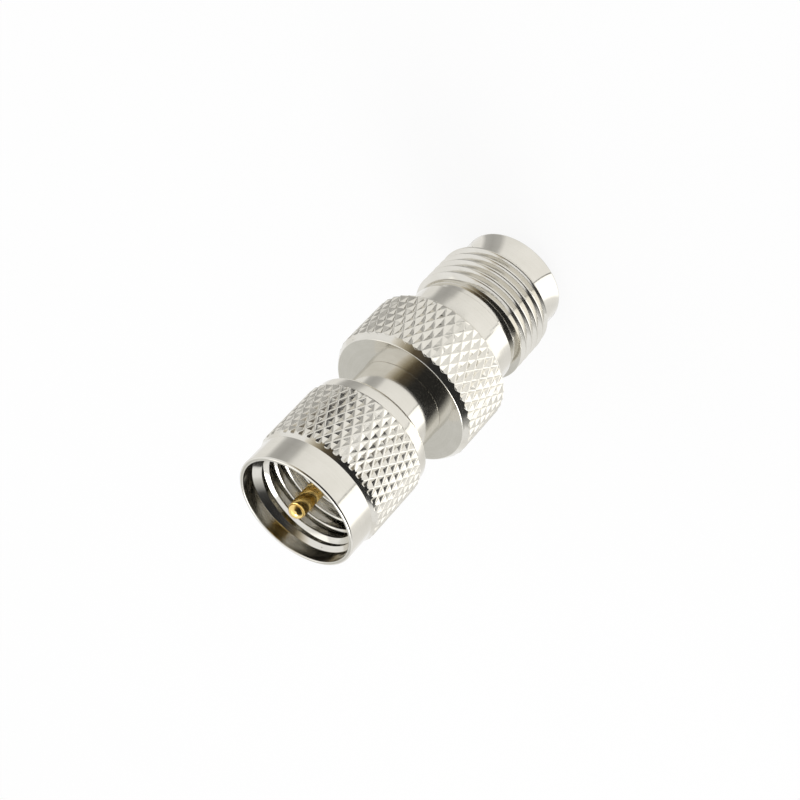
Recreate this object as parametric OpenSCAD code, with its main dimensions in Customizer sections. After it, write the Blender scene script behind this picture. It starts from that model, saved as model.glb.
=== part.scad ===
// Coaxial adapter: small threaded plug with a captive knurled nut at the top,
// threaded jack with a plain pilot at the bottom, knurled grip flange between them.
// Millimetres, +Z along the axis, the jack's rim stands on z = 0.

/* [Jack barrel] */
// Outside diameter of the plain pilot in front of the thread
pilot_d = 9.64; // [9.4:0.02:9.8]
// Length of the plain pilot, from the rim to the thread
pilot_len = 2.45; // [2:0.05:3.5]
// Bore of the jack's outer conductor
jack_bore_d = 8.12; // [7.9:0.02:8.3]
// Depth of that bore, from the rim to the web that stops the insulator
jack_bore_depth = 8.4; // [7.8:0.1:9.4]
// Chamfer on the inner and outer edge of the jack's rim
rim_chamfer = 0.2; // [0.1:0.02:0.26]
// Major diameter of the jack's outside thread
thread_d = 11; // [10.8:0.02:11.2]
// Length of the threaded stretch
thread_len = 4.95; // [4.2:0.05:6]
// Diameter of the undercut behind the thread
undercut_d = 9.5; // [9.3:0.05:10]
// Width of the undercut
undercut_len = 0.95; // [0.6:0.05:1.4]
// Diameter of the smooth neck between undercut and flange
neck_d = 10.2; // [10:0.05:10.8]
// Length of the smooth neck
neck_len = 3.2; // [2.4:0.1:4.5]

/* [Grip flange] */
// Diameter of the flange over its knurled ridges
flange_d = 13.28; // [12.8:0.02:14.4]
// Length of the flange
flange_len = 6.05; // [5.6:0.05:7.5]
// Length of the chamfered lip in front of the ridges at the flange's plug side
flange_front_margin = 0.6; // [0.5:0.05:1]
// Diameter of the flange's flat face at the plug side, inside the chamfer
flange_face_d = 12.5; // [11.8:0.02:12.6]
// Plain length kept free of ridges at the flange's jack side
flange_rear_margin = 0.45; // [0.42:0.01:0.8]
// Number of ridges of each hand round the flange
flange_ridges = 44; // [36:1:50]

/* [Plug neck] */
// Diameter of the neck that carries the coupling nut
stem_d = 8; // [7.8:0.02:8.2]
// Bare length of the neck between flange and nut
stem_gap = 3.95; // [2:0.05:5]
// Diameter of the spigot that is pressed into the flange
spigot_d = 7; // [6.8:0.05:7.4]
// Length of the pressed spigot
spigot_len = 4.4; // [3.8:0.1:4.8]
// Depth of the plug's front face below the nut's rim
plug_face_depth = 6.3; // [5.8:0.1:6.8]
// Length of the front lip that stops the plug insulator
plug_lip_len = 1; // [0.6:0.1:1.6]
// Hole in that front lip
plug_lip_d = 5.2; // [4.8:0.05:5.6]
// Chamfer on the plug's front edge
plug_chamfer = 0.2; // [0.1:0.05:0.4]

/* [Coupling nut] */
// Diameter of the nut over its knurled ridges
nut_d = 11.56; // [11.4:0.02:12.4]
// Diameter of the plain collar and of the plain rear band
collar_d = 11.04; // [11:0.02:11.2]
// Length of the nut
nut_len = 10.55; // [10:0.05:11.5]
// Plain collar at the nut's mouth, up to the first ridges
collar_len = 2.95; // [2.4:0.05:3.4]
// Plain band at the nut's rear, up to the first ridges
band_len = 1.5; // [1:0.05:2]
// Rounding of the nut's rear edge
band_round = 0.45; // [0.2:0.05:0.6]
// Rounding of the outer edge of the nut's rim
rim_round = 0.2; // [0.05:0.01:0.22]
// Rounding of the inner edge of the nut's rim
mouth_round = 0.06; // [0.03:0.01:0.08]
// Number of ridges of each hand round the nut
nut_ridges = 43; // [36:1:50]
// Diameter of the counterbore in the nut's mouth
mouth_d = 10.3; // [9.9:0.02:10.36]
// Depth of the counterbore
mouth_depth = 1.2; // [0.8:0.05:1.5]
// Minor diameter of the nut's inside thread
nut_thread_d = 8.7; // [8.5:0.02:8.9]
// Diameter of the relief behind that thread
nut_relief_d = 9.6; // [9.5:0.02:9.8]
// Length of the relief
nut_relief_len = 1.1; // [0.8:0.05:1.4]
// Depth from the nut's rim to the bottom of the relief
nut_relief_depth = 6.9; // [6.4:0.1:7.2]

/* [Knurl] */
// Angle of the ridges to the axis
knurl_angle = 29; // [25:1:35]
// Depth of the diamond pits below the ridges
knurl_depth = 0.25; // [0.15:0.01:0.25]
// How far the ridges stand above the plain lip in front of them
lip_drop = 0.06; // [0.02:0.01:0.12]

/* [Snap ring] */
// Distance from the nut's rear edge to the snap ring
ring_inset = 1.15; // [0.8:0.05:1.6]
// Axial thickness of the ring
ring_t = 0.6; // [0.4:0.05:0.8]
// How far the ring reaches out beyond the neck, into the nut
ring_proud = 0.4; // [0.25:0.05:0.5]
// How far the ring reaches into the neck
ring_sunk = 0.4; // [0.25:0.05:0.5]
// Opening angle of the split ring
ring_gap_angle = 30; // [15:5:60]

/* [Contact] */
// Diameter of the plug's pin
pin_d = 1.5; // [1.3:0.02:1.7]
// How far the pin's round tip stands out of the nut's mouth
pin_reach = 0.35; // [0:0.05:1]
// Diameter of the contact's shank inside the plug insulator
shank_d = 1.9; // [1.72:0.02:2.3]
// Diameter of the collar that is trapped between the insulators
contact_collar_d = 2.8; // [2.5:0.1:4]
// Length of that collar
contact_collar_len = 2; // [1:0.1:3]
// Outside diameter of the jack's socket
socket_d = 2.1; // [1.96:0.02:2.3]
// Bore of the socket
socket_bore_d = 1.36; // [1.3:0.02:1.44]
// Depth of the socket's bore
socket_bore_depth = 4.6; // [4:0.1:5.5]
// Width of the slots that make the socket springy
slot_w = 0.2; // [0.12:0.02:0.24]
// Length of the slots
slot_len = 3.6; // [2.5:0.1:3.9]
// Number of slots
slot_count = 4; // [2:1:4]

/* [Insulators] */
// Depth of the jack insulator's nose below the jack's rim
nose_depth = 3.2; // [2.8:0.1:3.8]
// Diameter of that nose
nose_d = 4.75; // [4.5:0.05:5]
// Diameter of the jack insulator's bead
jack_bead_d = 6.4; // [6.2:0.05:6.6]
// Thickness of the web that stops the jack insulator
web_t = 0.8; // [0.5:0.05:1.2]
// Diameter of the plug insulator's bead
plug_bead_d = 6; // [5.8:0.05:6.1]
// How far the insulators and the socket sit back from the faces round them
face_recess = 0.2; // [0.1:0.05:0.3]

/* [Fits] */
// Radial clearance between the turning nut and the neck
running_gap = 0.06; // [0.04:0.01:0.1]
// Clearance round the snap ring in its grooves
ring_gap = 0.12; // [0.08:0.02:0.16]
// Radial clearance of pieces that are pressed or slipped together for good
seat_gap = 0.01; // [0.005:0.005:0.03]

/* [Hidden] */
$fn = 96;
eps = 0.5;
core_sink = 0.1;
pit_clear = 0.02;
arc_steps = 6;
nickel = [0.80, 0.79, 0.75];
gilt = [0.86, 0.68, 0.28];
bronze = [0.72, 0.60, 0.42];
fluoropolymer = [0.95, 0.95, 0.93];

// Heights up the axis, from the jack's rim to the pin's tip
z_thread_low = pilot_len;
z_thread_top = z_thread_low + thread_len;
z_undercut_top = z_thread_top + undercut_len;
z_flange_low = z_undercut_top + neck_len;
z_flange_top = z_flange_low + flange_len;
z_nut_low = z_flange_top + stem_gap;
z_nut_top = z_nut_low + nut_len;
z_web_top = jack_bore_depth + web_t;
z_split = z_flange_top - spigot_len;
z_plug_bead = z_split + contact_collar_len;
z_plug_face = z_nut_top - plug_face_depth;
z_plug_lip = z_plug_face - plug_lip_len;
z_ring = z_nut_low + ring_inset;
z_relief = z_nut_top - nut_relief_depth;
z_pin_tip = z_nut_top + pin_reach;
z_pin_root = z_plug_face - face_recess;
z_socket = nose_depth + face_recess;

// Radii that several pieces share
stem_r = stem_d / 2;
pin_r = pin_d / 2;
socket_r = socket_d / 2;
nut_core_r = collar_d / 2;
flange_core_r = flange_d / 2 - knurl_depth - pit_clear;
thread_lead = (thread_d - pilot_d) / 2;
mouth_cone = (mouth_d - nut_thread_d) / 2;
ring_in_r = stem_r - ring_sunk;
ring_out_r = stem_r + ring_proud;

// Points of an arc in the half plane, from one angle to another
function arc(c, r, from, to) = [
    for (i = [0 : arc_steps])
        let (a = from + (to - from) * i / arc_steps)
        [c[0] + r * cos(a), c[1] + r * sin(a)]
];

// Solid of revolution about the axis from an outline of [radius, height] points
module turned(outline) {
    rotate_extrude()
        polygon(outline);
}

// Plain cylinder between two heights
module rod(r, low, high) {
    translate([0, 0, low])
        cylinder(r = r, h = high - low);
}

// Band of crossed ridges with diamond pits between them.
// Ridge crossings and pits alternate on a grid of half pitches; the band's ends and its back
// are sunk into the cylinder that carries it.
module knurl_band(ridge_r, core_r, ridges, low, high) {
    pit_r = max(ridge_r - knurl_depth, core_r + pit_clear);
    back_r = core_r - core_sink;
    end_h = ridge_r - back_r;
    columns = 2 * ridges;
    row_h = PI * ridge_r / ridges / tan(knurl_angle);
    rows = max(2, round((high - low) / row_h));
    grid = [
        for (j = [0 : rows], k = [0 : columns - 1])
            let (r = (j + k) % 2 == 0 ? ridge_r : pit_r, a = k * 360 / columns)
            [r * cos(a), r * sin(a), low + (high - low) * j / rows]
    ];
    ends = [
        for (z = [low - end_h, high + end_h], k = [0 : columns - 1])
            let (a = k * 360 / columns)
            [back_r * cos(a), back_r * sin(a), z]
    ];
    function at(j, k) = j * columns + (k + columns) % columns;
    function back(end, k) = at(rows + 1 + end, k);
    pits = [
        for (j = [0 : rows], k = [0 : columns - 1])
            if ((j + k) % 2 == 1)
                each [
                    if (j < rows) [at(j, k), at(j + 1, k), at(j, k + 1)],
                    if (j > 0) [at(j, k), at(j, k + 1), at(j - 1, k)],
                    if (j > 0) [at(j, k), at(j - 1, k), at(j, k - 1)],
                    if (j < rows) [at(j, k), at(j, k - 1), at(j + 1, k)]
                ]
    ];
    rims = [
        for (k = [0 : columns - 1])
            each [
                [back(0, k), at(0, k), at(0, k + 1)],
                [back(0, k), at(0, k + 1), back(0, k + 1)],
                [at(rows, k), back(1, k), back(1, k + 1)],
                [at(rows, k), back(1, k + 1), at(rows, k + 1)],
                [back(0, k), back(0, k + 1), back(1, k + 1), back(1, k)]
            ]
    ];
    polyhedron(points = concat(grid, ends), faces = concat(pits, rims));
}

// Turned jack: pilot, thread, undercut, neck and flange outside; bore, web and press seat inside
module jack_body() {
    pilot_r = pilot_d / 2;
    bore_r = jack_bore_d / 2;
    z_lip = z_flange_top - flange_front_margin;
    color(nickel) {
        turned([
            [bore_r + rim_chamfer, 0],
            [pilot_r - rim_chamfer, 0],
            [pilot_r, rim_chamfer],
            [pilot_r, z_thread_low],
            [thread_d / 2, z_thread_low + thread_lead],
            [thread_d / 2, z_thread_top],
            [undercut_d / 2, z_thread_top],
            [undercut_d / 2, z_undercut_top],
            [neck_d / 2, z_undercut_top],
            [neck_d / 2, z_flange_low],
            [flange_core_r, z_flange_low],
            [flange_core_r, z_lip],
            [flange_d / 2 - lip_drop, z_lip],
            [flange_face_d / 2, z_flange_top],
            [spigot_d / 2, z_flange_top],
            [spigot_d / 2, z_split],
            [jack_bead_d / 2 + seat_gap, z_split],
            [jack_bead_d / 2 + seat_gap, z_web_top],
            [nose_d / 2 + seat_gap, z_web_top],
            [nose_d / 2 + seat_gap, jack_bore_depth],
            [bore_r, jack_bore_depth],
            [bore_r, rim_chamfer]
        ]);
        knurl_band(
            ridge_r = flange_d / 2,
            core_r = flange_core_r,
            ridges = flange_ridges,
            low = z_flange_low + flange_rear_margin,
            high = z_lip
        );
    }
}

// Turned plug: spigot pressed into the jack, bare neck, groove for the snap ring, front lip
module plug_body() {
    groove_r = ring_in_r - ring_gap;
    bead_r = plug_bead_d / 2 + seat_gap;
    lip_r = plug_lip_d / 2 + seat_gap;
    color(nickel)
        turned([
            [spigot_d / 2 - seat_gap, z_split],
            [spigot_d / 2 - seat_gap, z_flange_top],
            [stem_r, z_flange_top],
            [stem_r, z_ring - ring_gap],
            [groove_r, z_ring - ring_gap],
            [groove_r, z_ring + ring_t + ring_gap],
            [stem_r, z_ring + ring_t + ring_gap],
            [stem_r, z_plug_face - plug_chamfer],
            [stem_r - plug_chamfer, z_plug_face],
            [lip_r, z_plug_face],
            [lip_r, z_plug_lip],
            [bead_r, z_plug_lip],
            [bead_r, z_split]
        ]);
}

// Coupling nut: collar, knurl and rear band outside; mouth, thread, relief and bearing inside
module coupling_nut() {
    bearing_r = stem_r + running_gap;
    thread_r = nut_thread_d / 2;
    relief_r = nut_relief_d / 2;
    groove_r = ring_out_r + ring_gap;
    mouth_r = mouth_d / 2;
    lip_r = max(nut_d / 2 - lip_drop, nut_core_r + pit_clear);
    z_lip = z_nut_top - collar_len;
    z_mouth = z_nut_top - mouth_depth;
    z_thread_end = z_relief + nut_relief_len;
    color(nickel) {
        turned(concat(
            [[bearing_r, z_nut_low]],
            arc([nut_core_r - band_round, z_nut_low + band_round], band_round, -90, 0),
            [
                [nut_core_r, z_lip],
                [lip_r, z_lip],
                [nut_core_r, z_lip + lip_r - nut_core_r]
            ],
            arc([nut_core_r - rim_round, z_nut_top - rim_round], rim_round, 0, 90),
            arc([mouth_r + mouth_round, z_nut_top - mouth_round], mouth_round, 90, 180),
            [
                [mouth_r, z_mouth],
                [thread_r, z_mouth - mouth_cone],
                [thread_r, z_thread_end],
                [relief_r, z_thread_end],
                [relief_r, z_relief],
                [bearing_r, z_relief],
                [bearing_r, z_ring + ring_t + ring_gap],
                [groove_r, z_ring + ring_t + ring_gap],
                [groove_r, z_ring - ring_gap],
                [bearing_r, z_ring - ring_gap]
            ]
        ));
        knurl_band(
            ridge_r = nut_d / 2,
            core_r = nut_core_r,
            ridges = nut_ridges,
            low = z_nut_low + band_len,
            high = z_lip
        );
    }
}

// Split spring ring, half in the neck's groove and half in the nut's
module nut_snap_ring() {
    color(bronze)
        rotate_extrude(angle = 360 - ring_gap_angle)
            translate([ring_in_r, z_ring])
                square([ring_out_r - ring_in_r, ring_t]);
}

// Centre contact in one turned piece: round-tipped pin, trapped collar, slotted socket
module centre_contact() {
    color(gilt)
        difference() {
            union() {
                rod(pin_r, z_pin_root, z_pin_tip - pin_r);
                translate([0, 0, z_pin_tip - pin_r])
                    sphere(r = pin_r);
                rod(shank_d / 2, z_plug_bead, z_pin_root);
                rod(contact_collar_d / 2, z_split, z_plug_bead);
                rod(socket_r, z_socket, z_split);
            }
            rod(socket_bore_d / 2, z_socket - eps, z_socket + socket_bore_depth);
            for (i = [0 : slot_count - 1])
                rotate([0, 0, i * 360 / slot_count])
                    translate([0, -slot_w / 2, z_socket - eps])
                        cube([socket_d, slot_w, slot_len + eps]);
        }
}

// Jack insulator: bead behind the web, nose that reaches forward round the socket
module jack_insulator() {
    hole_r = socket_r + seat_gap;
    color(fluoropolymer)
        turned([
            [hole_r, nose_depth],
            [nose_d / 2, nose_depth],
            [nose_d / 2, z_web_top],
            [jack_bead_d / 2, z_web_top],
            [jack_bead_d / 2, z_split],
            [hole_r, z_split]
        ]);
}

// Plug insulator: bead inside the neck, short nose that fills the front lip
module plug_insulator() {
    hole_r = shank_d / 2 + seat_gap;
    color(fluoropolymer)
        turned([
            [hole_r, z_plug_bead],
            [plug_bead_d / 2, z_plug_bead],
            [plug_bead_d / 2, z_plug_lip],
            [plug_lip_d / 2, z_plug_lip],
            [plug_lip_d / 2, z_pin_root],
            [hole_r, z_pin_root]
        ]);
}

jack_body();
plug_body();
coupling_nut();
nut_snap_ring();
centre_contact();
jack_insulator();
plug_insulator();
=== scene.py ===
# %% [markdown]
# # A coaxial adapter in bright nickel
# The adapter stands on its jack, with the coupling nut of the plug at the top. Its solids are already
# measured and jointed, so this lesson dresses them: it turns, knurls and threads finer meshes over the
# solids, plates them, and lights them as a small product shot. The solids themselves are never moved.

# %% Load the solids
import math

import bmesh
import bpy
from mathutils import Matrix, Vector


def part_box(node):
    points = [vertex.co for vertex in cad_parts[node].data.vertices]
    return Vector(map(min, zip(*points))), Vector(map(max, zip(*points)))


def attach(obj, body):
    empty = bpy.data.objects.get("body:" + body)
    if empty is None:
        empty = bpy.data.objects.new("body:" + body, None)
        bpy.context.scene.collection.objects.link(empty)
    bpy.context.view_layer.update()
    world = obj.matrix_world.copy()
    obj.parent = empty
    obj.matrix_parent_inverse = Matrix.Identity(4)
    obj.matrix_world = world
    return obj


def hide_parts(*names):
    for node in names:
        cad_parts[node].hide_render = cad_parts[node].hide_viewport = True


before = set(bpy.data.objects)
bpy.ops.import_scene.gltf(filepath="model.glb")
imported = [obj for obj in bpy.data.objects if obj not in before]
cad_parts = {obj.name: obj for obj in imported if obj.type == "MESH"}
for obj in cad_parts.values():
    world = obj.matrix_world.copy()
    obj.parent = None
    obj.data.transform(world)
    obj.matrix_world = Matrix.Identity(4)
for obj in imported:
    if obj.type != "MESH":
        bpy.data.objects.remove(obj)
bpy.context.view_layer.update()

# %% [markdown]
# ## The camera
# A long lens looks down into the nut's mouth and is rolled so far over that the nut points to the lower
# left. We could aim a camera by eye, but the ellipses of the rim and the flange fix the view: their
# flatness gives the tilt, their tilt in the picture gives the roll, and how they shrink gives the lens.

# %% Camera from the picture's own measures
FRAME_PX = 800
FOCAL_PX = 1913.3
SENSOR_MM = 36.0
LOOK_DOWN = math.radians(33.99)
ROLL = math.radians(137.05)
AIM = Vector((0, 0, 0.032))
AIM_SEEN = Vector((-0.00819, 0.00877, 0.150))  # right of, below and in front of the lens

forward = Vector((0, math.cos(LOOK_DOWN), -math.sin(LOOK_DOWN)))
level_up = Vector((0, math.sin(LOOK_DOWN), math.cos(LOOK_DOWN)))
right = Vector((1, 0, 0)) * math.cos(ROLL) - level_up * math.sin(ROLL)
down = -Vector((1, 0, 0)) * math.sin(ROLL) - level_up * math.cos(ROLL)
eye = AIM - right * AIM_SEEN.x - down * AIM_SEEN.y - forward * AIM_SEEN.z

camera = bpy.data.objects.new("camera", bpy.data.cameras.new("camera"))
bpy.context.scene.collection.objects.link(camera)
camera.matrix_world = Matrix.Translation(eye) @ Matrix((right, -down, -forward)).transposed().to_4x4()
camera.data.sensor_width = SENSOR_MM
camera.data.lens = FOCAL_PX / FRAME_PX * SENSOR_MM
camera.data.clip_start = 0.005
camera.data.clip_end = 20
bpy.context.scene.camera = camera
print("camera at", [round(x, 4) for x in eye], "lens", round(camera.data.lens, 1))

# %% [markdown]
# ## A lathe made of operators
# Nearly every piece of the adapter is turned from bar. The same can be done here: draw half of the
# section by extruding one vertex from corner to corner, break the corners with a bevel, and spin the
# line round the axis. The drawing is in millimetres, as on a workshop sheet, and each finished piece is
# brought to metres at the end, because many operators merge points that lie closer than a tenth of a
# millimetre would in metres.

# %% Sketch, round and spin
MM = 0.001
TURN_STEPS = 192
WELD = 1e-4
CORNER_SEGMENTS = 5
SPIN_AXIS = (0, 0, -1)  # spin turns clockwise about its axis, and the pieces turn the other way


def heights(node):
    """Lowest and highest point of a solid, in millimetres."""
    low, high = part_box(node)
    return low.z / MM, high.z / MM


def pick(piece, wanted):
    """Selects the vertices of the mesh in edit mode for which wanted(place) holds."""
    mesh = bmesh.from_edit_mesh(piece.data)
    bpy.ops.mesh.select_mode(type="VERT")
    bpy.ops.mesh.select_all(action="DESELECT")
    for vertex in mesh.verts:
        vertex.select = wanted(vertex.co)
    mesh.select_flush_mode()
    bmesh.update_edit_mesh(piece.data)


def sketch(name, corners, segments=CORNER_SEGMENTS):
    """A closed outline in the XZ plane, drawn from (radius, height, corner radius) in millimetres."""
    bpy.ops.object.select_all(action="DESELECT")
    bpy.ops.mesh.primitive_plane_add(size=1, location=(0, 0, 0))
    piece = bpy.context.object
    piece.name = piece.data.name = name
    bpy.ops.object.mode_set(mode="EDIT")
    bpy.ops.mesh.merge(type="CENTER")
    places = [Vector((r, 0, z)) for r, z, _ in corners]
    bpy.ops.transform.translate(value=places[0])
    for here, there in zip(places, places[1:]):
        bpy.ops.mesh.extrude_vertices_move(TRANSFORM_OT_translate={"value": there - here})
    bpy.ops.mesh.select_all(action="SELECT")
    bpy.ops.mesh.edge_face_add()
    for size in sorted({c[2] for c in corners if c[2] > 0}):
        marked = [p for p, c in zip(places, corners) if c[2] == size]
        pick(piece, lambda co: any((co - p).length < WELD for p in marked))
        bpy.ops.mesh.bevel(offset=size, segments=segments, affect="VERTICES")
    bpy.ops.mesh.select_all(action="SELECT")
    bpy.ops.mesh.delete(type="ONLY_FACE")
    return piece


def close_mesh():
    """Welds the mesh in edit mode, drops loose bits, caps open ends and points its faces outwards."""
    bpy.ops.mesh.select_all(action="SELECT")
    bpy.ops.mesh.remove_doubles(threshold=WELD)
    bpy.ops.mesh.delete_loose()
    bpy.ops.mesh.select_all(action="SELECT")
    bpy.ops.mesh.fill_holes(sides=0)
    bpy.ops.mesh.select_all(action="SELECT")
    bpy.ops.mesh.normals_make_consistent(inside=False)
    bpy.ops.object.mode_set(mode="OBJECT")


def turned(name, corners, steps=TURN_STEPS, angle=math.tau, segments=CORNER_SEGMENTS):
    """A piece as it comes off the lathe: the outline spun about the Z axis."""
    piece = sketch(name, corners, segments)
    bpy.ops.mesh.select_all(action="SELECT")
    bpy.ops.mesh.spin(steps=steps, angle=angle, center=(0, 0, 0), axis=SPIN_AXIS)
    close_mesh()
    return piece


def apply_modifier(piece, kind, **settings):
    """Adds a modifier, sets it and applies it at once."""
    bpy.ops.object.select_all(action="DESELECT")
    bpy.context.view_layer.objects.active = piece
    piece.select_set(True)
    modifier = piece.modifiers.new(kind.lower(), kind)
    for name, value in settings.items():
        setattr(modifier, name, value)
    bpy.ops.object.modifier_apply(modifier=modifier.name)


def combine(piece, tool, operation):
    """Cuts, joins or trims a closed piece with a closed tool, and throws the tool away."""
    apply_modifier(piece, "BOOLEAN", operation=operation, solver="MANIFOLD", object=tool)
    bpy.data.objects.remove(tool)


def finish_piece(piece, body, node, smooth_deg=21, true_faces=True):
    """Brings a piece to metres, smooths its round faces and lets it stand for its solid. With true faces,
    weighted normals keep wide faces flat to the light, and only the small rounds between them shade."""
    bpy.ops.object.select_all(action="DESELECT")
    bpy.context.view_layer.objects.active = piece
    piece.select_set(True)
    piece.scale = (MM, MM, MM)
    bpy.ops.object.transform_apply(location=True, rotation=True, scale=True)
    bpy.ops.object.shade_smooth_by_angle(angle=math.radians(smooth_deg))
    if true_faces:
        apply_modifier(piece, "WEIGHTED_NORMAL", keep_sharp=True)
    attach(piece, body)
    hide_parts(node)
    print(piece.name, len(piece.data.vertices), "vertices", len(piece.data.polygons), "faces")
    return piece


# %% [markdown]
# ## Rolling a diamond knurl
# The grip bands are knurled: two hardened wheels press crossing ridges into the metal, and diamond
# pits are left between them. One could cut two sets of helical grooves, but that leaves raised points,
# and here the ridges stand and the diamonds are sunk. So one diamond is modelled flat, from a circle of
# four corners that insets and a poke sink into a pyramid. Its point lies a little off the middle, so the
# two flanks towards the mouth are gentle and the other two are steep. Arrays repeat it into a strip as
# long as the band's girth, and the strip is bent into a ring. Last, a turned envelope trims the ring,
# which gives the slanted ends with their saw-toothed edge.

# %% Knurl: one pit, a strip, a ring
PIT_RINGS = ((0.03, 14), (0.045, 33))  # width in mm and slope in degrees of crest and edge
PIT_FLOOR = 0.155  # depth of the four-sided floor below them
PIT_LEAN = 0.16  # the floor's point lies this far from the middle, chosen for the reflections it gives
PIT_DEPTH = PIT_FLOOR + sum(width * math.tan(math.radians(slope)) for width, slope in PIT_RINGS)


def knurl_ring(name, ridge_r, back_r, ridges, pit_h, first_row, low, high):
    """A closed ring with sunk diamonds on its outside, between two heights, not yet trimmed."""
    pit_w = math.tau * ridge_r / ridges
    bpy.ops.object.select_all(action="DESELECT")
    bpy.ops.mesh.primitive_circle_add(
        vertices=4, radius=0.5, fill_type="NGON", rotation=(math.pi / 2, 0, 0)
    )
    ring = bpy.context.object
    ring.name = ring.data.name = name
    bpy.ops.object.transform_apply(rotation=True)
    bpy.ops.object.mode_set(mode="EDIT")
    bpy.ops.transform.resize(value=(pit_w, 1, pit_h))
    for width, slope in PIT_RINGS:
        bpy.ops.mesh.inset(thickness=width, depth=-width * math.tan(math.radians(slope)))
    bpy.ops.mesh.poke(offset=-PIT_FLOOR)
    pick(ring, lambda co: abs(co.x) + abs(co.z) < WELD)
    bpy.ops.transform.translate(value=(0, 0, -PIT_LEAN))
    bpy.ops.mesh.select_all(action="SELECT")
    bpy.ops.transform.translate(value=(0, 0, first_row))
    bpy.ops.mesh.duplicate_move(TRANSFORM_OT_translate={"value": (pit_w / 2, 0, pit_h / 2)})
    bpy.ops.object.mode_set(mode="OBJECT")
    rows = math.ceil((high - first_row) / pit_h) + 1
    for count, step in ((ridges, (pit_w, 0, 0)), (rows, (0, 0, pit_h))):
        apply_modifier(
            ring, "ARRAY", count=count, use_relative_offset=False,
            use_constant_offset=True, constant_offset_displace=step,
        )
    bpy.ops.object.mode_set(mode="EDIT")
    for height, clear in ((low, "clear_inner"), (high, "clear_outer")):
        bpy.ops.mesh.select_all(action="SELECT")
        bpy.ops.mesh.bisect(
            plane_co=(0, 0, height), plane_no=(0, 0, 1), threshold=WELD, **{clear: True}
        )
    bpy.ops.mesh.select_all(action="SELECT")
    bpy.ops.mesh.remove_doubles(threshold=WELD)
    bpy.ops.object.mode_set(mode="OBJECT")
    along = [v.co.x for v in ring.data.vertices]
    apply_modifier(
        ring, "SIMPLE_DEFORM", deform_method="BEND", deform_axis="Z",
        angle=(max(along) - min(along)) / ridge_r,
    )
    bpy.ops.object.mode_set(mode="EDIT")
    bpy.ops.mesh.select_all(action="SELECT")
    bpy.ops.transform.translate(value=(0, -ridge_r, 0))
    bpy.ops.mesh.remove_doubles(threshold=WELD * 10)
    shrink = back_r / ridge_r
    for end in (low, high):
        pick(ring, lambda co: abs(co.z - end) < WELD)
        bpy.ops.mesh.extrude_edges_move(TRANSFORM_OT_translate={"value": (0, 0, 0)})
        bpy.ops.transform.resize(value=(shrink, shrink, 1), center_override=(0, 0, end))
    inner = (back_r + ridge_r - PIT_DEPTH) / 2
    pick(ring, lambda co: co.xy.length < inner and min(abs(co.z - low), abs(co.z - high)) < WELD)
    bpy.ops.mesh.bridge_edge_loops()
    close_mesh()
    radii = [v.co.xy.length for v in ring.data.vertices]
    print(name, "radius", round(min(radii), 3), "to", round(max(radii), 3), "faces", len(ring.data.polygons))
    return ring


# %% [markdown]
# ## Cutting a thread
# A thread is a V-shaped groove that climbs one pitch in each turn. The Screw modifier sweeps a drawn
# section along such a helix. Swept as a closed bar, it is the space that the threading tool takes away,
# so a cut with it gives the true start on the lead cone and the true run-out in the undercut.

# %% Thread groove as a swept bar
THREAD_STEPS = 96


def groove_section(crest_r, root_r, pitch, land, rounding):
    """Outline of a 60 degree groove as (radius, height, 0) about its middle line. Between two grooves a
    land is left on the ridge, with a rounded edge on either side."""
    way = math.copysign(1, crest_r - root_r)
    centre_r = crest_r - way * rounding
    centre_z = (land - pitch) / 2
    half = [(crest_r + way * 0.3, centre_z)]
    for tilt in (0, 20, 40, 60):
        turn = math.radians(tilt)
        half.append((centre_r + way * rounding * math.cos(turn), centre_z + rounding * math.sin(turn)))
    fall = abs(half[-1][0] - root_r) * math.tan(math.radians(30))
    half.append((root_r, half[-1][1] + fall))
    return [(r, z, 0) for r, z in half] + [(r, -z, 0) for r, z in reversed(half)]


def thread_groove(name, section, pitch, low, high):
    """The helical bar of one groove, which starts on the +X side at one height and climbs to another."""
    bar = sketch(name, section)
    bpy.ops.object.mode_set(mode="OBJECT")
    turns = (high - low) / pitch
    apply_modifier(
        bar, "SCREW", axis="Z", angle=math.tau * turns, screw_offset=high - low, iterations=1,
        steps=round(THREAD_STEPS * turns), render_steps=round(THREAD_STEPS * turns),
        use_smooth_shade=False,
    )
    bpy.ops.object.mode_set(mode="EDIT")
    bpy.ops.mesh.select_all(action="SELECT")
    bpy.ops.transform.translate(value=(0, 0, low))
    close_mesh()
    return bar


# %% [markdown]
# ## The coupling nut
# The nut is a turned sleeve: a plain collar at the mouth, a knurled grip, a plain band with a chamfered
# edge at the back. Inside are the counterbore, a slanted lead, the thread with its relief, and the
# bearing that runs on the plug's neck. The blank is spun first, the knurl is joined on, the thread is cut.

# %% Nut blank, knurl and thread
EDGE = 0.04
nut_low, nut_top = heights("coupling_nut")
nut_ridge_r = 5.78
nut_r = 5.52
bearing_r = 4.06
mouth_r = 5.15
nut_thread_r = 4.35
relief_r = 4.8
relief_len = 1.1
ring_low, ring_high = nut_low + 1.03, nut_low + 1.87
ring_groove_r = nut_r - 1.0
relief_low = nut_top - 6.9
mouth_floor = nut_top - 1.2
lead = mouth_r - nut_thread_r
knurl_low, knurl_high = nut_low + 1.5, nut_top - 2.95
CONE_TOP = knurl_high + 0.34
CONE_SLOPE = 0.45
LIP = 0.15


def cone_height(r):
    """Height of the slanted front of the nut's grip at a radius."""
    return CONE_TOP - (r - nut_r) / CONE_SLOPE


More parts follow.
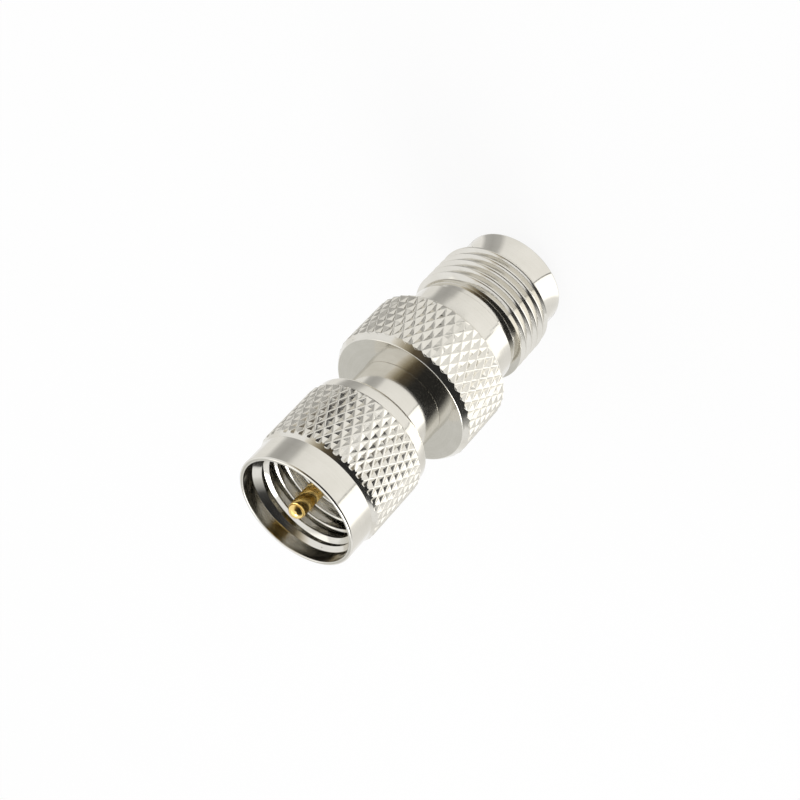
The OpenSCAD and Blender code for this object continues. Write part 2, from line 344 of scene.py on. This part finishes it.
nut = turned("nut_plated", [
    (bearing_r, nut_low, 0.1),
    (nut_r - 0.3, nut_low, 0.08),
    (nut_r, nut_low + 0.35, 0.09),
    (nut_r, cone_height(nut_r + LIP) - 0.1, 0),
    (nut_r + LIP, cone_height(nut_r + LIP), 0),
    (nut_r, CONE_TOP, EDGE),
    (nut_r, nut_top, 0.2),
    (mouth_r, nut_top, 0.09),
    (mouth_r, mouth_floor, 0.06),
    (nut_thread_r, mouth_floor - lead, EDGE),
    (nut_thread_r, relief_low + relief_len, 0),
    (relief_r, relief_low + relief_len, 0),
    (relief_r, relief_low, 0),
    (bearing_r, relief_low, 0),
    (bearing_r, ring_high, 0),
    (ring_groove_r, ring_high, 0),
    (ring_groove_r, ring_low, 0),
    (bearing_r, ring_low, 0),
])

NUT_RIDGES = 43
NUT_PIT_ROWS = 4
nut_knurl_back_r = 5.2
nut_core_r = 4.5
nut_pit_h = (knurl_high - knurl_low) / NUT_PIT_ROWS
nut_knurl = knurl_ring(
    "nut_knurl", nut_ridge_r, nut_knurl_back_r, NUT_RIDGES, nut_pit_h, knurl_low - nut_pit_h,
    knurl_low - 0.5, knurl_high + 0.5,
)
nut_envelope = turned("nut_envelope", [
    (nut_core_r, knurl_low - 0.3, 0),
    (nut_r - 0.02, knurl_low - 0.3, 0),
    (nut_ridge_r + 0.06, knurl_low + 0.04, 0),
    (nut_ridge_r + 0.06, cone_height(nut_ridge_r + 0.06), 0),
    (nut_r + LIP - 0.01, cone_height(nut_r + LIP) - 0.01, 0),
    (nut_core_r, cone_height(nut_r + LIP) - 0.01, 0),
])
combine(nut_knurl, nut_envelope, "INTERSECT")
combine(nut, nut_knurl, "UNION")

NUT_PITCH = 1.058
nut_root_r = 4.79
nut_section = groove_section(nut_thread_r, nut_root_r, NUT_PITCH, land=0.16, rounding=0.06)
nut_groove = thread_groove("nut_groove", nut_section, NUT_PITCH, relief_low + 0.55, nut_top - 0.9)
combine(nut, nut_groove, "DIFFERENCE")
finish_piece(nut, "nut", "coupling_nut")

# %% [markdown]
# ## The jack body
# One long turning: a plain pilot at the foot, the outside thread, an undercut where the threading tool
# runs out, a smooth neck and the wide knurled flange that fingers hold while the nut is turned. The bore
# with its web and the seat for the plug are turned from both ends.

# %% Jack blank, knurl and thread
jack_low, jack_top = heights("jack_body")
pilot_r = 4.82
thread_r = 5.5
undercut_r = 4.75
neck_r = 5.1
flange_r = 6.37
flange_ridge_r = 6.64
jack_bore_r = 4.06
seat_r = 3.5
bead_seat_r = 3.21
nose_hole_r = 2.385
thread_low, thread_top = jack_low + 2.45, jack_low + 7.4
undercut_top = thread_top + 0.95
flange_low = jack_top - 6.05
seat_low = heights("plug_body")[0]
web_low, web_top = jack_low + 8.4, jack_low + 9.2

flange_knurl_low, flange_knurl_high = flange_low + 0.45, jack_top - 0.6
lip_r = 6.57
face_r = 6.25

jack = turned("jack_plated", [
    (jack_bore_r, jack_low, 0.2),
    (pilot_r, jack_low, 0.2),
    (pilot_r, thread_low, 0.06),
    (thread_r, thread_low + thread_r - pilot_r, 0.05),
    (thread_r, thread_top, 0.05),
    (undercut_r, thread_top, 0.05),
    (undercut_r, undercut_top, 0.08),
    (neck_r, undercut_top, 0.08),
    (neck_r, flange_low, 0.12),
    (flange_r, flange_low, 0.1),
    (flange_r, flange_knurl_high - 0.08, 0),
    (lip_r, flange_knurl_high + 0.04, 0.02),
    (face_r, jack_top, 0.07),
    (seat_r, jack_top, EDGE),
    (seat_r, seat_low, 0),
    (bead_seat_r, seat_low, 0),
    (bead_seat_r, web_top, 0),
    (nose_hole_r, web_top, 0),
    (nose_hole_r, web_low, 0),
    (jack_bore_r, web_low, 0.1),
])

FLANGE_RIDGES = 44
FLANGE_PIT_ROWS = 3
flange_knurl_back_r = 6.0
flange_core_r = 5.3
flange_pit_h = (flange_knurl_high - flange_knurl_low) / FLANGE_PIT_ROWS
flange_knurl = knurl_ring(
    "flange_knurl", flange_ridge_r, flange_knurl_back_r, FLANGE_RIDGES, flange_pit_h,
    flange_knurl_low - flange_pit_h, flange_knurl_low - 0.45, flange_knurl_high + 0.6,
)
flange_envelope = turned("flange_envelope", [
    (flange_core_r, flange_low + 0.06, 0),
    (flange_r - 0.05, flange_low + 0.06, 0),
    (flange_ridge_r + 0.05, flange_low + 0.46, 0),
    (flange_ridge_r + 0.05, flange_knurl_high - 0.08, 0),
    (face_r, jack_top - 0.03, 0),
    (flange_core_r, jack_top - 0.03, 0),
])
combine(flange_knurl, flange_envelope, "INTERSECT")
combine(jack, flange_knurl, "UNION")

JACK_PITCH = 0.907
jack_root_r = 5.0
jack_section = groove_section(thread_r, jack_root_r, JACK_PITCH, land=0.05, rounding=0.11)
jack_groove = thread_groove("jack_groove", jack_section, JACK_PITCH, thread_low - 0.5, thread_top + 0.46)
combine(jack, jack_groove, "DIFFERENCE")
finish_piece(jack, "adapter_body", "jack_body")

# %% [markdown]
# ## The plug's neck
# A plain tube is pressed into the flange and carries the nut. Only a short bright stretch of it shows,
# so what counts are the small rounds at its shoulder and at the front lip deep inside the nut.

# %% Plug neck
plug_low, plug_top = heights("plug_body")
stem_r = 4.0
plug_groove_r = 3.48
spigot_r = 3.49
plug_hole_r = 2.61
plug_bore_r = 3.01
lip_low = plug_top - 1.0
plug = turned("plug_neck_plated", [
    (spigot_r, plug_low, 0.1),
    (spigot_r, jack_top, 0),
    (stem_r, jack_top, 0.05),
    (stem_r, ring_low, EDGE),
    (plug_groove_r, ring_low, 0),
    (plug_groove_r, ring_high, 0),
    (stem_r, ring_high, EDGE),
    (stem_r, plug_top, 0.2),
    (plug_hole_r, plug_top, 0.06),
    (plug_hole_r, lip_low, 0),
    (plug_bore_r, lip_low, 0),
    (plug_bore_r, plug_low, 0.1),
])
finish_piece(plug, "adapter_body", "plug_body")

# %% [markdown]
# ## The contact
# One gilt rod runs through the whole adapter: a round-nosed pin in the plug, a collar that is trapped
# between two white beads, and a slotted socket in the jack. The rod is spun as an outline that starts
# and ends on the axis, and the slots are cut with a thin bar, so that the socket can spring.

# %% Gilt contact
socket_low, pin_tip = heights("centre_contact")
collar_low, collar_top = heights("jack_insulator")[1], heights("plug_insulator")[0]
pin_root = heights("plug_insulator")[1]
pin_r = 0.75
socket_r = 1.05
socket_bore_r = 0.68
shank_r = 0.95
collar_r = 1.4
contact = turned("contact_gilt", [
    (0, pin_tip, 0),
    (pin_r, pin_tip, 0.748),
    (pin_r, pin_root, EDGE),
    (shank_r, pin_root, EDGE),
    (shank_r, collar_top, 0),
    (collar_r, collar_top, EDGE),
    (collar_r, collar_low, EDGE),
    (socket_r, collar_low, 0),
    (socket_r, socket_low, 0.12),
    (socket_bore_r, socket_low, 0.1),
    (socket_bore_r, socket_low + 4.6, 0),
    (0, socket_low + 4.9, 0),
], steps=96, segments=12)
SLOT_W = 0.2
SLOT_LEN = 3.6
for turn in (0, math.pi / 2):
    bpy.ops.object.select_all(action="DESELECT")
    bpy.ops.mesh.primitive_cube_add(
        size=1, location=(0, 0, socket_low + SLOT_LEN / 2 - 0.5), rotation=(0, 0, turn)
    )
    slot_bar = bpy.context.object
    slot_bar.scale = (4, SLOT_W, SLOT_LEN + 1)
    bpy.ops.object.transform_apply(location=True, rotation=True, scale=True)
    combine(contact, slot_bar, "DIFFERENCE")
finish_piece(contact, "adapter_body", "centre_contact", true_faces=False)

# %% [markdown]
# ## The insulators
# Two beads of white fluoropolymer hold the contact on the axis and keep it away from the metal. They are
# turned from rod, so two more outlines on the lathe make them. Each meets the contact's collar on one
# side, and the jack's bead has a long nose that surrounds the socket.

# %% White beads
nose_low, bead_top = heights("jack_insulator")
socket_hole_r = 1.06
nose_r = 2.375
jack_bead_r = 3.2
jack_bead = turned("jack_bead", [
    (socket_hole_r, nose_low, 0.08),
    (nose_r, nose_low, 0.12),
    (nose_r, web_top, 0),
    (jack_bead_r, web_top, 0.08),
    (jack_bead_r, bead_top, 0.08),
    (socket_hole_r, bead_top, 0.05),
], steps=96)
finish_piece(jack_bead, "adapter_body", "jack_insulator")
shank_hole_r = 0.96
plug_bead_r = 3.0
plug_nose_r = 2.6
plug_bead = turned("plug_bead", [
    (shank_hole_r, collar_top, 0.05),
    (plug_bead_r, collar_top, 0.08),
    (plug_bead_r, lip_low, 0.05),
    (plug_nose_r, lip_low, 0),
    (plug_nose_r, pin_root, 0.08),
    (shank_hole_r, pin_root, 0.06),
], steps=96)
finish_piece(plug_bead, "adapter_body", "plug_insulator")

# %% [markdown]
# ## The spring ring
# A split ring of bronze wire sits half in a groove of the neck and half in a groove of the nut, which
# keeps the nut on and lets it turn. A full turn with a piece cut out would do, but spinning the section
# through less than a turn gives the split at once, and the two open ends are capped.

# %% Spring ring
wire_low, wire_high = heights("nut_snap_ring")
wire_in_r, wire_out_r = 3.6, 4.4
WIRE_ROUND = 0.08
RING_TURN = math.radians(330)
spring = turned("spring_ring", [
    (wire_in_r, wire_low, WIRE_ROUND),
    (wire_out_r, wire_low, WIRE_ROUND),
    (wire_out_r, wire_high, WIRE_ROUND),
    (wire_in_r, wire_high, WIRE_ROUND),
], steps=110, angle=RING_TURN)
finish_piece(spring, "adapter_body", "nut_snap_ring")

# %% [markdown]
# ## Shader maths in Python
# A material is a net of nodes. Wiring them by hand is slow to read, so one small class wraps a socket:
# sums and products on it add Math nodes, and one method adds any other node.

# %% A socket that can be calculated with


class Net:
    """A socket of a node tree; expressions on it add Math nodes to the tree."""

    def __init__(self, tree, socket=None):
        self.tree = tree
        self.socket = socket

    def add(self, kind, settings=None, sockets=None, out=0):
        """Adds a node: its settings first, then the values or links of its sockets."""
        node = self.tree.nodes.new(kind)
        for name, value in (settings or {}).items():
            if name == "stops":
                ramp = node.color_ramp.elements
                while len(ramp) < len(value):
                    ramp.new(0.5)
                for stop, (place, colour) in zip(ramp, value):
                    stop.position = place
                    stop.color = (*colour, 1)
            else:
                setattr(node, name, value)
        for name, value in (sockets or {}).items():
            if isinstance(value, Net):
                self.tree.links.new(value.socket, node.inputs[name])
            else:
                node.inputs[name].default_value = value
        return Net(self.tree, node.outputs[out])

    def maths(self, operation, first, second=0.0):
        return self.add("ShaderNodeMath", {"operation": operation}, {0: first, 1: second})

    def __add__(self, other):
        return self.maths("ADD", self, other)

    def __radd__(self, other):
        return self.maths("ADD", other, self)

    def __sub__(self, other):
        return self.maths("SUBTRACT", self, other)

    def __rsub__(self, other):
        return self.maths("SUBTRACT", other, self)

    def __mul__(self, other):
        return self.maths("MULTIPLY", self, other)

    def __rmul__(self, other):
        return self.maths("MULTIPLY", other, self)

    def root(self):
        return self.maths("SQRT", self)

    def above(self, edge, width):
        """0 below edge, 1 above edge + width, smooth between them."""
        return self.add(
            "ShaderNodeMapRange", {"interpolation_type": "SMOOTHSTEP"},
            {"Value": self, "From Min": edge, "From Max": edge + width},
        )

    def mix(self, first, second):
        """A colour between two, with this socket as the factor."""
        return self.add(
            "ShaderNodeMix", {"data_type": "RGBA"}, {0: self, 6: first, 7: second}, out=2
        )


def new_material(name):
    """A material with a Principled shader, and the net and shader node to work on."""
    material = bpy.data.materials.new(name)
    material.use_nodes = True
    tree = material.node_tree
    return material, Net(tree), tree.nodes["Principled BSDF"]


def feed(net, shader, **links):
    """Links nets to sockets of the shader, given by names with _ for a space."""
    for name, value in links.items():
        net.tree.links.new(value.socket, shader.inputs[name.replace("_", " ")])


def noise(net, vector, scale, detail=2.0):
    return net.add(
        "ShaderNodeTexNoise", {"noise_dimensions": "3D"},
        {"Vector": vector, "Scale": scale, "Detail": detail, "Roughness": 0.5},
    )


# %% [markdown]
# ## Bright nickel
# The bodies are brass under bright nickel, which is a little warmer and darker than chrome. A flat metal
# looks like a toy, so three things vary: fine rings that the lathe left under the plating, slow changes
# of tone and gloss, and a few tiny dark pores. The rings follow the distance from the axis and the
# height, so that they run round cylinders and faces alike.

# %% Nickel, gilt, bronze and white beads


def lathe_rings(net, place, scale):
    """Noise that changes only with radius and height, as tool marks do."""
    split = net.tree.nodes.new("ShaderNodeSeparateXYZ")
    net.tree.links.new(place.socket, split.inputs[0])
    x, y, z = (Net(net.tree, split.outputs[i]) for i in range(3))
    radius = (x * x + y * y).root()
    flat = net.add("ShaderNodeCombineXYZ", None, {"X": radius, "Y": z, "Z": 0.0})
    return noise(net, flat, scale, 3.0)


def plated(name, light, dark, gloss, ring_depth, pores):
    """A turned and plated metal: two tones, a roughness, ring bump and pores."""
    material, net, shader = new_material(name)
    place = net.add("ShaderNodeTexCoord", None, None, out=3)
    rings = lathe_rings(net, place, 9000.0)
    tone = noise(net, place, 420.0, 3.0)
    grain = noise(net, place, 5200.0, 2.0)
    pore = noise(net, place, 3300.0, 1.0).above(pores, 0.03)
    metal = (tone * 0.7 + rings * 0.3).above(0.3, 0.4).mix((*dark, 1), (*light, 1))
    colour = pore.mix(metal, (dark[0] * 0.35, dark[1] * 0.33, dark[2] * 0.3, 1))
    rough = gloss + tone * 0.05 + rings * 0.06 + grain * 0.03
    bump = net.add(
        "ShaderNodeBump", None,
        {"Strength": 0.25, "Distance": ring_depth, "Height": rings + grain * 0.15 - pore * 0.5},
    )
    shader.inputs["Metallic"].default_value = 1.0
    feed(net, shader, Base_Color=colour, Roughness=rough, Normal=bump)
    return material


def bead_white(name):
    """Turned white fluoropolymer: waxy, faintly mottled, with tool rings."""
    material, net, shader = new_material(name)
    place = net.add("ShaderNodeTexCoord", None, None, out=3)
    rings = lathe_rings(net, place, 5000.0)
    mottle = noise(net, place, 900.0, 3.0)
    colour = mottle.above(0.35, 0.35).mix((0.80, 0.79, 0.76, 1), (0.90, 0.90, 0.88, 1))
    bump = net.add("ShaderNodeBump", None, {"Strength": 0.3, "Distance": 0.00002, "Height": rings})
    shader.inputs["Specular IOR Level"].default_value = 0.35
    feed(net, shader, Base_Color=colour, Roughness=0.42 + mottle * 0.1, Normal=bump)
    return material


nickel = plated("bright_nickel", (0.76, 0.74, 0.69), (0.70, 0.68, 0.625), 0.05, 0.000004, 0.80)
gilt = plated("bright_gilt", (0.95, 0.74, 0.32), (0.88, 0.62, 0.21), 0.05, 0.000001, 0.84)
bronze = plated("spring_bronze", (0.72, 0.55, 0.34), (0.60, 0.42, 0.24), 0.18, 0.000006, 0.80)
white = bead_white("white_bead")
for piece, material in (
    (nut, nickel), (jack, nickel), (plug, nickel), (contact, gilt),
    (jack_bead, white), (plug_bead, white), (spring, bronze),
):
    piece.data.materials.clear()
    piece.data.materials.append(material)
print("materials:", [m.name for m in (nickel, gilt, bronze, white)])

# %% [markdown]
# ## The studio
# Bright metal shows its surroundings and little else, so the picture is made by what stands round it.
# The floor is plain and white to the lens and keeps a faint shadow. The world and one soft box light the
# scene at a plain level, so that colours come out about as they are written.

# %% Floor, world and lamp
scene = bpy.context.scene
scene.view_settings.view_transform = "Standard"


def seen_as_white(net):
    """1 for rays from the lens, from a reflection or through glass, otherwise 0."""
    path = net.tree.nodes.new("ShaderNodeLightPath")
    lens, gloss, glass = (
        Net(net.tree, path.outputs[kind + " Ray"]) for kind in ("Is Camera", "Is Glossy", "Is Transmission")
    )
    return net.maths("MAXIMUM", net.maths("MAXIMUM", lens, gloss), glass)


FLOOR_WHITE_SHARE = 0.86
floor_material, net, shader = new_material("pale_floor")
paper = noise(net, net.add("ShaderNodeTexCoord", None, None, out=3), 60.0)
feed(net, shader, Base_Color=paper.mix((0.86, 0.86, 0.86, 1), (0.9, 0.9, 0.9, 1)))
shader.inputs["Roughness"].default_value = 1.0
shader.inputs["Specular IOR Level"].default_value = 0.0
glow = net.add("ShaderNodeEmission", None, {"Color": (1, 1, 1, 1), "Strength": 1.0})
surface = net.add(
    "ShaderNodeMixShader", None,
    {0: seen_as_white(net) * FLOOR_WHITE_SHARE, 1: Net(net.tree, shader.outputs[0]), 2: glow},
)
net.tree.links.new(surface.socket, net.tree.nodes["Material Output"].inputs["Surface"])

bpy.ops.object.select_all(action="DESELECT")
bpy.ops.mesh.primitive_plane_add(size=4, location=(0, 0, 0))
floor = bpy.context.object
floor.name = "floor"
floor.data.materials.append(floor_material)

world = bpy.data.worlds.new("studio")
scene.world = world
world.use_nodes = True
net = Net(world.node_tree)
sky = world.node_tree.nodes["Background"]
sky.inputs["Color"].default_value = (1, 1, 1, 1)
white_share = seen_as_white(net)
net.tree.links.new((0.92 + white_share * 0.08).socket, sky.inputs["Strength"])


def soft_lamp(name, place, size, power):
    """A square soft box that points at the middle of the adapter."""
    lamp = bpy.data.objects.new(name, bpy.data.lights.new(name, "AREA"))
    scene.collection.objects.link(lamp)
    lamp.data.size = size
    lamp.data.energy = power
    lamp.location = place
    lamp.rotation_euler = (Vector((0, 0, 0.016)) - Vector(place)).to_track_quat("-Z", "Y").to_euler()
    return lamp


soft_lamp("key_box", (-0.16, 0.10, 0.34), 0.16, 0.30)
print("floor and lamp are set")

# %% [markdown]
# ## Cards for the reflections
# A photographer lays paper round a shiny thing and stands dark screens behind the camera. Here glowing
# cards play that part, and their tones are painted reflections: the metal shows them as bright, grey
# and dark stripes with clear edges. An upright cylinder mirrors the floor, and each of its directions
# sees one direction of the floor, so the tones wanted on the metal are mapped to rings on the floor.
# The pits' gentle flanks look down at a dark patch, a painted shade that they mirror as dark drops, and
# the faces that look up see the screens. Only reflections see the cards.

# %% Cards that only reflections see
CARD_Z = 0.00002


def card_material(name, tones):
    """Painted reflection: glow that changes with the direction round the axis; tones holds (degrees, colour)
    in order.
    """
    material = bpy.data.materials.new(name)
    material.use_nodes = True
    net = Net(material.node_tree)
    material.node_tree.nodes.remove(material.node_tree.nodes["Principled BSDF"])
    split = net.tree.nodes.new("ShaderNodeSeparateXYZ")
    net.tree.links.new(net.add("ShaderNodeTexCoord", None, None, out=3).socket, split.inputs[0])
    x, y = (Net(net.tree, split.outputs[i]) for i in range(2))
    turn = net.maths("ARCTAN2", x, 0 - y) * (180 / math.pi)
    first, last = tones[0][0], tones[-1][0]
    turn = net.maths("FLOORED_MODULO", turn - first, 360.0)
    stops = [((deg - first) / (last - first), [c / CARD_GLOW for c in colour]) for deg, colour in tones]
    ramp = net.add("ShaderNodeValToRGB", {"stops": stops}, {"Fac": turn * (1 / (last - first))})
    glow = net.add("ShaderNodeEmission", None, {"Color": ramp, "Strength": CARD_GLOW})
    net.tree.links.new(glow.socket, net.tree.nodes["Material Output"].inputs["Surface"])
    return material


def card(name, start, end, tones):
    """A strip from start to end, (distance, height) in metres, swept round the axis from the first of its
    tones to the last. Direction 0 is the lens's side, and positive turns towards +X."""
    bpy.ops.object.select_all(action="DESELECT")
    bpy.ops.mesh.primitive_plane_add(size=1, location=(0, 0, 0))
    strip = bpy.context.object
    strip.name = strip.data.name = name
    bpy.ops.object.mode_set(mode="EDIT")
    bpy.ops.mesh.merge(type="CENTER")
    from_deg, to_deg = tones[0][0], tones[-1][0]
    turn = math.radians(from_deg - 90)
    outward = Vector((math.cos(turn), math.sin(turn), 0))
    first = outward * start[0] + Vector((0, 0, start[1]))
    last = outward * end[0] + Vector((0, 0, end[1]))
    bpy.ops.transform.translate(value=first)
    bpy.ops.mesh.extrude_vertices_move(TRANSFORM_OT_translate={"value": last - first})
    bpy.ops.mesh.select_all(action="SELECT")
    bpy.ops.mesh.spin(
        steps=max(2, round((to_deg - from_deg) / 3)), angle=math.radians(to_deg - from_deg),
        center=(0, 0, 0), axis=SPIN_AXIS,
    )
    bpy.ops.object.mode_set(mode="OBJECT")
    strip.data.materials.append(card_material(name, tones))
    for way in ("camera", "diffuse", "transmission", "volume_scatter", "shadow"):
        setattr(strip, "visible_" + way, False)
    return strip


def ring_at(elevation_deg, distance=0.5):
    """Distance from the axis and height of a point seen under an elevation."""
    up = math.radians(elevation_deg)
    return distance * math.cos(up), distance * math.sin(up)


def warm(level):
    """A paper white of a level, a little warm."""
    return level, level * 0.99, level * 0.965


def landing(turn_deg, radius, height):
    """Direction in which the lens's ray, mirrored by a cylinder at a place, meets the floor."""
    turn = math.radians(turn_deg)
    away = height / math.tan(LOOK_DOWN)
    return turn_deg + math.degrees(math.atan2(away * math.sin(turn), radius + away * math.cos(turn)))


CARD_GLOW = 2.0
# Painted reflections: the level each upright cylinder is to mirror, by its direction round the axis.
PAINTED_REFLECTION_TONES = (
    (-74, 0.95), (-56, 0.88), (-47, 1.0), (-43, 1.7), (-21.6, 1.6), (-21, 0.15), (-20.6, 0.15),
    (-20, 1.08), (12, 1.02), (29, 0.95), (35, 0.55), (44, 0.46), (52, 0.52), (58, 0.95), (74, 0.9),
)
# Each ring paints the reflection seen on one part: pilot, thread, neck, flange and nut.
for name, radius, height, near, far in (
    ("pilot_painted_reflection", 4.82, 1.2, 4.9, 8.6),
    ("thread_painted_reflection", 5.5, 5.0, 8.6, 17),
    ("neck_painted_reflection", 5.1, 10.0, 17, 23),
    ("flange_painted_reflection", 6.6, 15.0, 23, 35),
    ("nut_painted_reflection", 5.5, 27.0, 35, 300),
):
    tones = [(landing(turn, radius, height), warm(level)) for turn, level in PAINTED_REFLECTION_TONES]
    card(name, (near * MM, CARD_Z), (far * MM, CARD_Z), tones)

# Tones of the screens, painted reflections: dark and brown lines on rims and edges, and the grey on the
# flange's face. The screens glow at these tones and light nothing.
DARK = (0.03, 0.03, 0.03)
PALE = (0.85, 0.85, 0.83)
GREY = (0.70, 0.70, 0.68)
BROWN_EDGE = [(2, DARK), (32, (0.12, 0.095, 0.06)), (46, (0.42, 0.37, 0.27)), (66, (0.95, 0.92, 0.86))]
DARK_EDGE = [(-112, PALE), (-84, (0.06, 0.06, 0.06)), (-60, DARK)]
card("dark_screen", ring_at(9), ring_at(66), DARK_EDGE + BROWN_EDGE)
card("dark_screen_foot", ring_at(0.3), ring_at(9), [(-42, PALE), (-34, DARK)] + BROWN_EDGE)
card("back_screen", ring_at(24), ring_at(46), [(138, PALE), (152, GREY), (208, GREY), (222, PALE)])
# Painted highlight: a bright warm card that lights nothing and shows only as white in the metal.
card("back_painted_highlight", ring_at(48), ring_at(80), [(100, PALE), (115, warm(1.5)), (245, warm(1.5)), (260, PALE)])
PATCH_Z = 2 * CARD_Z
# Painted shade: a dark patch that the knurl pits' gentle flanks mirror as dark drops.
card("painted_pit_shade", (0.0197, PATCH_Z), (0.0240, PATCH_Z), [(13, PALE), (18, DARK), (46, DARK), (52, PALE)])
